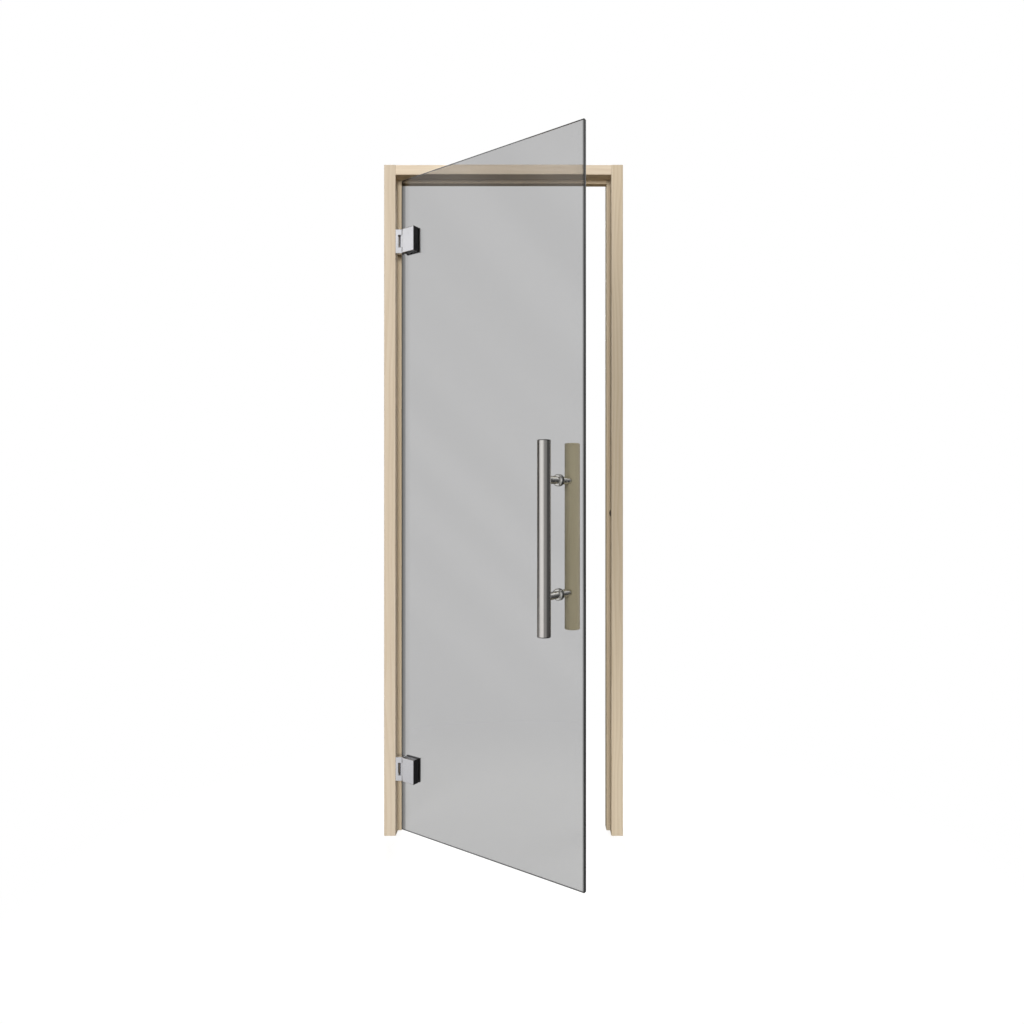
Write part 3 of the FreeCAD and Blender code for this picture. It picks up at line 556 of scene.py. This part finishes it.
HINGE_Z = {level: middle_height(f"hinge_base_{level}") for level in LEVELS}
BASE_SCREW_Y, BASE_SCREW_RISE = -0.011, 0.022
satin_chrome = make_metal("satin_chrome", colour=(0.84, 0.84, 0.87), roughness=0.2, fineness=420.0,
                          along=(1.0, 1.0, 0.16), tilt=(0.3, 0.2, 0.0), depth=0.08, bump=0.06)
ground_steel = make_metal("ground_steel", colour=(0.66, 0.66, 0.67), roughness=0.24, fineness=1500.0,
                          along=(0.05, 0.05, 1.0), depth=0.16, smudge=0.04, bump=0.12)
finish_nodes([f"hinge_base_{level}" for level in LEVELS], satin_chrome)
finish_nodes([f"hinge_pin_{level}" for level in LEVELS], ground_steel)
for level in LEVELS:
    starts = [(JAMB_FACE, BASE_SCREW_Y, HINGE_Z[level] + side * BASE_SCREW_RISE) for side in (-1, 1)]
    grids = screw_grids(head=0.004, shank=0.0021, length=0.026, socket=0.0018, pitch=0.0018,
                        starts=starts, axis=(-1.0, 0.0, 0.0), side=UP)
    put_piece(f"base_screw_pair_{level}", wrap_mesh(f"base_screw_pair_{level}", grids), zinc,
              "frame", "screw_steel", f"hinge_base_screws_{level}")


# Door catch
# A black moulded plug with round ends, pushed into the rebate side of the latch jamb. Its domed nose
# stands proud and holds the edge of the closed glass.
def make_moulded_group():
    """Moulded skin: a fine even spark grain, with roughness that varies a little over wider patches."""
    group, source, sink = new_group(
        "moulded_skin", {"Place": "Vector", "Grain": "Float", "Roughness": "Float", "Uneven": "Float"},
        {"Roughness": "Float", "Height": "Float"})
    spark = lay(group, "TexNoise", {"Vector": source["Place"], "Scale": source["Grain"],
                                    "Detail": 2.0}).outputs[0]
    patch = lay(group, "TexNoise", {"Vector": source["Place"], "Scale": 55.0, "Detail": 2.0}).outputs[0]
    group.links.new(add_share(group, patch, source["Uneven"], source["Roughness"]), sink["Roughness"])
    group.links.new(spark, sink["Height"])
    return group


moulded_skin = make_moulded_group()


def make_moulding(name, colour, roughness, grain, bump, **values):
    """Plastic or rubber with a moulded skin."""
    made, tree, shader = new_finish(name, Base_Color=(*colour, 1.0), **values)
    skin = lay(tree, "Group", {"Place": lay(tree, "TexCoord").outputs["Object"], "Grain": grain,
                               "Roughness": roughness, "Uneven": 0.25}, node_tree=moulded_skin)
    feed(tree, shader, skin.outputs, bump, relief=0.00012)
    return made


def round_ended(half_wide, half_tall, columns):
    """Radius of a slot with round ends at each angle from its length: up to the straight side, half the
    width over the sine, and past it the end's centre distance times the cosine plus the root of the
    end's radius squared less the centre distance times the sine squared."""
    angle = np.arange(columns) * 2 * np.pi / columns
    along, across = np.abs(np.cos(angle)), np.abs(np.sin(angle))
    centre = half_tall - half_wide
    side = half_wide / np.maximum(across, 1e-6)
    end = centre * along + np.sqrt(np.maximum(half_wide ** 2 - (centre * across) ** 2, 0.0))
    return np.where(side * along < centre, side, end)


black_plastic = make_moulding("satin_black_plastic", colour=(0.016, 0.016, 0.018), roughness=0.42,
                              grain=2600.0, bump=0.18, Specular_IOR_Level=0.3)
# The plug is a little smaller than its hole in the jamb and sits a hair to one side in it
CATCH_LOOSE, CATCH_ASIDE = 0.0001, 0.00005
catch_low, catch_high = map(np.array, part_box("door_catch"))
CATCH_DEEP, catch_wide, catch_tall = catch_high - catch_low
CATCH_HALF_WIDE, CATCH_HALF_TALL = catch_wide / 2 - CATCH_LOOSE, catch_tall / 2 - CATCH_LOOSE
_, catch_y, catch_z = (catch_low + catch_high) / 2
CATCH_START = (catch_high[0], catch_y - CATCH_ASIDE, catch_z + CATCH_ASIDE)
NOSE_PROUD, MOUTH, CATCH_COLUMNS = 0.0034, 0.0004, 64
# Up the plug and over its rounded edge, then a nose that domes inwards as a quarter of an ellipse
quarter = np.linspace(0.0, np.pi / 2, 10)[:-1]
catch_scale = np.array([0.97, 1.0, 1.0, 0.97, 0.84, *(0.8 * np.cos(quarter)), 0.03])[:, None]
nose = CATCH_DEEP + MOUTH + (NOSE_PROUD - MOUTH) * np.sin(quarter)
catch_along = [0.0, MOUTH, CATCH_DEEP - MOUTH / 2, CATCH_DEEP, CATCH_DEEP + MOUTH / 2, *nose,
               CATCH_DEEP + NOSE_PROUD]
catch_radius = catch_scale * round_ended(CATCH_HALF_WIDE, CATCH_HALF_TALL, CATCH_COLUMNS)
catch_grids = carry_round(catch_radius, catch_along, [CATCH_START], (-1.0, 0.0, 0.0), UP, CATCH_COLUMNS)
put_piece("nosed_catch", wrap_mesh("nosed_catch", catch_grids), black_plastic, "frame", "black_plastic",
          "door_catch")

# Glass leaf
# One pane of 8 mm toughened glass, tinted grey, with its edges ground to a small arris and polished. It
# stands open on its hinges. The edges, where light runs the long way through the tint, are nearly black.
PIN = (0.051, -0.026)
OPEN = np.radians(33.5)
GLASS_START, GLASS_END = -0.0115, 0.6095
GLASS_FOOT, GLASS_TOP = (corner.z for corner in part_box("glass_leaf"))
FACE_TINT = (0.482, 0.482, 0.484, 1.0)
EDGE_TINT = (0.002, 0.0024, 0.0022, 1.0)
SHADOW_TINT = (0.95, 0.95, 0.95, 1.0)
glass, tree, shader = new_finish("smoked_glass", IOR=1.5, Transmission_Weight=1.0, Roughness=0.0)
at = lay(tree, "TexCoord").outputs
on_leaf = centred(tree, at["Object"], (*PIN, 0.0), (0.0, 0.0, -OPEN))
along, _, height = lay(tree, "SeparateXYZ", {0: on_leaf}).outputs
face_on = lay(tree, "VectorMath", {0: at["Normal"], 1: (np.sin(OPEN), np.cos(OPEN), 0.0)},
              operation="DOT_PRODUCT").outputs["Value"]
clear = ease(tree, work_out(tree, "ABSOLUTE", face_on), 0.6, 0.95)
# The hinge edge and, less so, the top edge let more light through than the free edge
for place, low, high, at_low, at_high in (
        (along, GLASS_START + 0.0001, GLASS_START + 0.002, 1.0, 0.0),
        (height, GLASS_TOP - 0.0012, GLASS_TOP - 0.0004, 0.0, 0.35)):
    clear = work_out(tree, "MAXIMUM", clear, ease(tree, place, low, high, at_low, at_high))
# Each border is painted darker towards its edge, where the dark edge shows in the face; by the hinge
# edge the band is also painted shade of the stop and rebate seen behind the glass.
for place, low, high, at_low, at_high in (
        (along, GLASS_START + 0.0085, GLASS_START + 0.017, 0.4, 1.0),
        (along, GLASS_END - 0.0085, GLASS_END - 0.002, 1.0, 0.03),
        (height, GLASS_FOOT, GLASS_FOOT + 0.003, 0.3, 1.0),
        (height, GLASS_TOP - 0.003, GLASS_TOP, 1.0, 0.9)):
    clear = work_out(tree, "MULTIPLY", clear, ease(tree, place, low, high, at_low, at_high))
tree.links.new(blend_colour(tree, clear, EDGE_TINT, FACE_TINT), shader.inputs["Base Color"])
ray = lay(tree, "LightPath")
lets_light_through = lay(tree, "BsdfTransparent", {"Color": SHADOW_TINT})
mixed = lay(tree, "MixShader", {0: ray.outputs["Is Shadow Ray"], 1: shader.outputs[0],
                                2: lets_light_through.outputs[0]})
tree.links.new(mixed.outputs[0], tree.nodes["Material Output"].inputs["Surface"])
finish_nodes(["glass_leaf"], glass)

# Gaskets
# Thin sheets of matt black rubber on both sides of the glass, so that no metal touches it. They are cut
# to the block's and the back plate's outlines and pinched there by the clamp screws.
rubber = make_moulding("gasket_rubber", colour=(0.022, 0.022, 0.022), roughness=0.72, grain=1500.0,
                       bump=0.3)
finish_nodes([f"hinge_{side}_gasket_{level}" for side in ("outer", "inner") for level in LEVELS], rubber)

# Clamps
# A block in front of the glass and a plate behind it, in the bases' satin chrome, closed at the free end
# by a black moulded cap. Two zinc machine screws pull plate and block together through the glass.
CLAMP_SCREW_ALONG, CLAMP_SCREW_RISE, PLATE_BACK = 0.032, 0.02, 0.0255
ALONG_GLASS = np.array([np.cos(OPEN), -np.sin(OPEN), 0.0])
THROUGH_GLASS = np.array([np.sin(OPEN), np.cos(OPEN), 0.0])


def on_leaf_place(along, through, height):
    """The row's place of a point given along the glass and through it from the pin, and its height."""
    return np.array([*PIN, height]) + along * ALONG_GLASS + through * THROUGH_GLASS


finish_nodes([f"hinge_{part}_{level}" for part in ("block", "back_plate") for level in LEVELS],
             satin_chrome)
finish_nodes([f"hinge_end_cap_{level}" for level in LEVELS], black_plastic)
for level in LEVELS:
    starts = [on_leaf_place(CLAMP_SCREW_ALONG, PLATE_BACK, HINGE_Z[level] + side * CLAMP_SCREW_RISE)
              for side in (-1, 1)]
    grids = screw_grids(head=0.0055, shank=0.003, length=0.028, socket=0.0025, pitch=0.001,
                        starts=starts, axis=-THROUGH_GLASS, side=UP, point=False)
    put_piece(f"clamp_screw_pair_{level}", wrap_mesh(f"clamp_screw_pair_{level}", grids), zinc,
              "leaf", "screw_steel", f"hinge_clamp_screws_{level}")

# Rosettes, posts, studs and bushes
# Through each of two holes in the glass a steel stud in a clear sleeve joins an outer and an inner post.
# Each post stands on a spun rosette with a domed rim. Both are polished stainless steel.
PULL_ALONG = 0.5325
POST_Z = {level: middle_height(f"outer_post_{level}") for level in LEVELS}
GLASS_FRONT, GLASS_BACK = 0.01, 0.018
ROSETTE, SHOULDER, BORE = 0.0155, 0.0108, 0.00405
ROSETTE_THICK, RIM_THICK, RIM_BREAK = 0.005, 0.0009, 0.0003
polished = make_metal("polished_stainless", colour=(0.76, 0.75, 0.72), roughness=0.22, fineness=700.0,
                      along=(1.0, 1.0, 0.2), smudge=0.07, bump=0.08)
# Out over the foot, up a low rim, over a quarter of an ellipse to the shoulder, and down the bore
dome = np.linspace(0.0, np.pi / 2, 12)
dome_radius = SHOULDER + (ROSETTE - SHOULDER) * np.cos(dome)
dome_along = RIM_THICK + (ROSETTE_THICK - RIM_THICK) * np.sin(dome)
rosette_radius = [ROSETTE - RIM_BREAK, ROSETTE, *dome_radius, BORE, BORE]
rosette_along = [0.0, RIM_BREAK, *dome_along, ROSETTE_THICK, 0.0]
for side, face, away in (("outer", GLASS_FRONT, -THROUGH_GLASS), ("inner", GLASS_BACK, THROUGH_GLASS)):
    for level in LEVELS:
        start = on_leaf_place(PULL_ALONG, face, POST_Z[level])
        grids = carry_round(rosette_radius, rosette_along, [start], away, UP, columns=64)
        name = f"{side}_domed_rosette_{level}"
        put_piece(name, wrap_mesh(name, grids, ring=True), polished, "leaf", "polished_steel",
                  f"{side}_rosette_{level}")
finish_nodes([f"{side}_post_{level}" for side in ("outer", "inner") for level in LEVELS], polished)
finish_nodes([f"pull_stud_{level}" for level in LEVELS], ground_steel)
sleeve = make_moulding("clear_sleeve", colour=(0.85, 0.85, 0.83), roughness=0.25, grain=900.0, bump=0.1,
                       IOR=1.49, Transmission_Weight=0.85)
finish_nodes([f"glass_bush_{level}" for level in LEVELS], sleeve)

# Steel bar
# A stainless tube, brushed along its length, closed at both ends by a pressed cap. The cap's rim is
# turned round, and a thin groove parts it from the tube.
BAR_THROUGH, BAR_RADIUS = -0.056, 0.017
# Each cap is drawn from the end of its spigot inside the tube
SPIGOT_ENDS = {"lower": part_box("pull_cap_lower")[1].z, "upper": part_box("pull_cap_upper")[0].z}
SPIGOT, SPIGOT_LONG, SPIGOT_BREAK = 0.01495, 0.008, 0.0006
GROOVE_DEEP, GROOVE_WIDE, CORNER = 0.0007, 0.0004, 0.0001
CAP_LONG, RIM, CAP_FAN = 0.011, 0.0022, 0.004
bar_middle = tuple(map(float, on_leaf_place(PULL_ALONG, BAR_THROUGH, 0.0)))
brushed = make_metal("brushed_stainless", colour=(0.63, 0.605, 0.58), roughness=0.17, fineness=1800.0,
                     along=(1.0, 1.0, 0.006), middle=bar_middle, depth=0.22, bump=0.18)
# The caps' steel is painted darker than the tube's: painted shade for the dark line rimming each end
cap_steel_painted_dark = make_metal("turned_cap_painted_shade", colour=(0.4, 0.39, 0.38), roughness=0.22, fineness=900.0,
                          middle=bar_middle, depth=0.2)
finish_nodes(["pull_bar_steel"], brushed)
# Up the spigot, out and along the groove, over a rim that is a quarter of a circle, and in to a fan
turn = np.linspace(0.0, np.pi / 2, 10)
cap_radius = [SPIGOT - SPIGOT_BREAK, SPIGOT, SPIGOT, BAR_RADIUS - GROOVE_DEEP, BAR_RADIUS - GROOVE_DEEP,
              BAR_RADIUS - CORNER, *(BAR_RADIUS - RIM + RIM * np.cos(turn)), CAP_FAN]
cap_along = [0.0, SPIGOT_BREAK, SPIGOT_LONG, SPIGOT_LONG, SPIGOT_LONG + GROOVE_WIDE,
             SPIGOT_LONG + GROOVE_WIDE + CORNER, *(CAP_LONG - RIM + RIM * np.sin(turn)), CAP_LONG]
for level, axis in (("lower", -UP), ("upper", UP)):
    start = on_leaf_place(PULL_ALONG, BAR_THROUGH, SPIGOT_ENDS[level])
    grids = carry_round(cap_radius, cap_along, [start], axis, ALONG_GLASS, columns=72)
    name = f"rounded_cap_{level}"
    put_piece(name, wrap_mesh(name, grids), cap_steel_painted_dark, "leaf", "brushed_steel", f"pull_cap_{level}")

# Wooden bar
# A turned rod of a yellower timber inside the sauna, where steel would burn the hand. It is sanded
# fine, its ends are cut square with barely broken edges, and two hidden dowels hold it on its posts.
ROD_THROUGH = 0.084
ROD_RADIUS, BREAK, ROD_FAN = 0.02, 0.002, 0.006
ROD_FOOT, ROD_TOP = (corner.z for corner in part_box("pull_bar_wood"))
rod_middle = tuple(map(float, on_leaf_place(PULL_ALONG, ROD_THROUGH, 0.0)))
rod_wood = make_timber("pull_rod_wood", rod_middle, (0.028, 0.012, 0.0), ring_width=0.0028, figure=0.4,
                       early=(0.8, 0.735, 0.52, 1.0), late=(0.6, 0.515, 0.31, 1.0), roughness=0.42)
# Straight from end to end, each edge broken by a quarter of a circle and each end closed by a fan
turn = np.linspace(0.0, np.pi / 2, 6)
broken_radius = ROD_RADIUS - BREAK + BREAK * np.sin(turn)
broken_along = BREAK * (1 - np.cos(turn))
rod_radius = [ROD_FAN, *broken_radius, *broken_radius[::-1], ROD_FAN]
rod_along = [ROD_FOOT, *(ROD_FOOT + broken_along), *(ROD_TOP - broken_along[::-1]), ROD_TOP]
rod_grids = carry_round(rod_radius, rod_along, [rod_middle], UP, ALONG_GLASS, columns=96)
put_piece("turned_rod", wrap_mesh("turned_rod", rod_grids), rod_wood, "leaf", "pull_wood", "pull_bar_wood")
